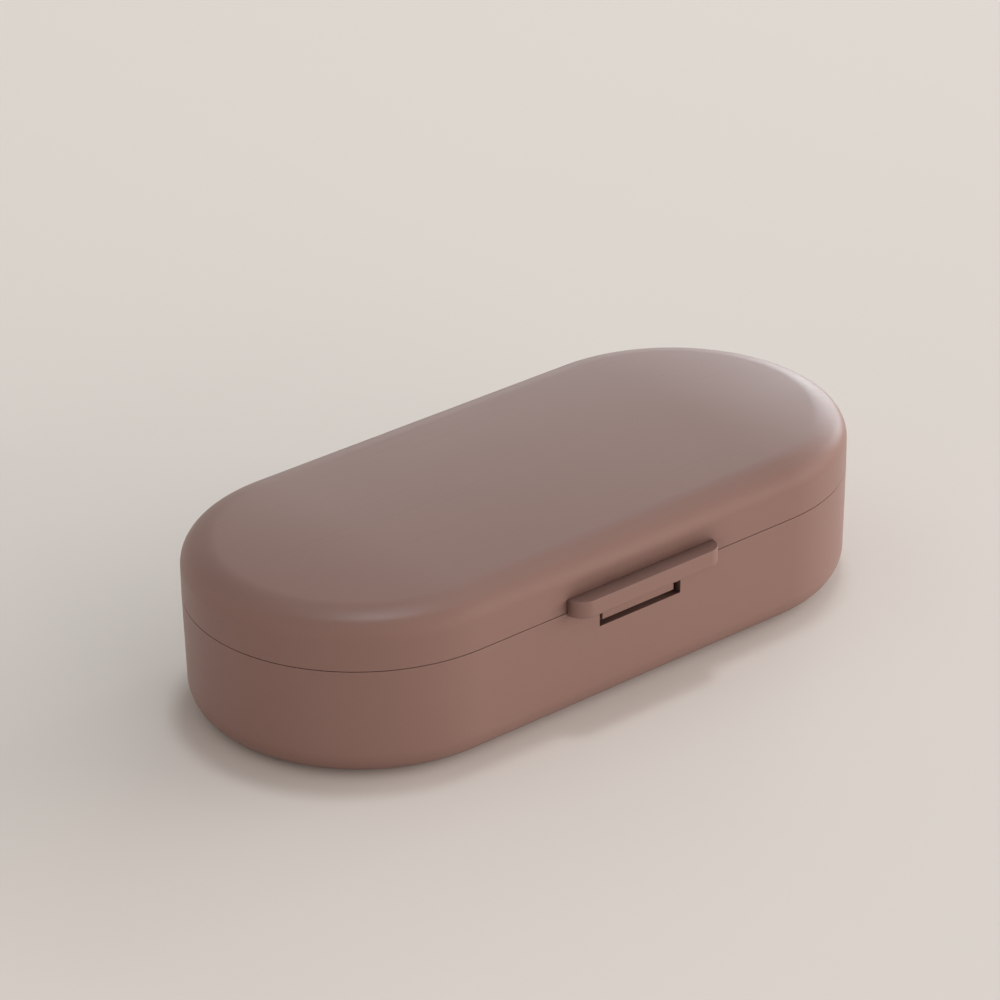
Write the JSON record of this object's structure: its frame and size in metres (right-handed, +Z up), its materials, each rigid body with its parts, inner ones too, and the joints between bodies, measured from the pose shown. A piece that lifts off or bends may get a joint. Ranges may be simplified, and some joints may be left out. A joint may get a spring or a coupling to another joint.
{
  "type": "pill case",
  "caption": "Oblong hard pill case: hinged lid with thumb ledge and snap tongue, seal and liner, over a base holding a lift-out tray of divided wells.",
  "frame": {"origin": "middle of the flat underside, on the surface that the case stands on", "axes": "+X along the case to the right as the latch is faced, +Y from the latch at the front to the hinge at the back, +Z up"},
  "size_m": [0.12, 0.062, 0.0286],
  "materials": {
    "shell": "satin, fine spark-eroded grain",
    "tray": "satin, slightly milky",
    "seal": "soft matt silicone",
    "pin": "drawn wire"
  },
  "bodies": {
    "base": {"base_shell": "shell", "compartment_tray": "tray", "divider_front_left": "tray", "divider_front_middle": "tray", "divider_front_right": "tray", "divider_rear_left": "tray", "divider_rear_middle": "tray", "divider_rear_right": "tray", "hinge_pin_left": "pin", "hinge_pin_right": "pin"},
    "lid": {"lid_shell": "shell", "lid_liner": "tray", "seal_ring": "seal"},
    "latch": {"latch_tongue": "shell"}
  },
  "joints": [
    {"name": "lid_hinge", "type": "hinge", "parent": "base", "child": "lid", "pos_m": [0, 0.0296, 0.0188], "axis": [-1, 0, 0], "range_deg": [0, 180]},
    {"name": "latch_flex", "type": "hinge", "parent": "lid", "child": "latch", "pos_m": [0, -0.02745, 0.01895], "axis": [-1, 0, 0], "range_deg": [0, 8], "stiffness_Nm_per_rad": 0.05}
  ]
}
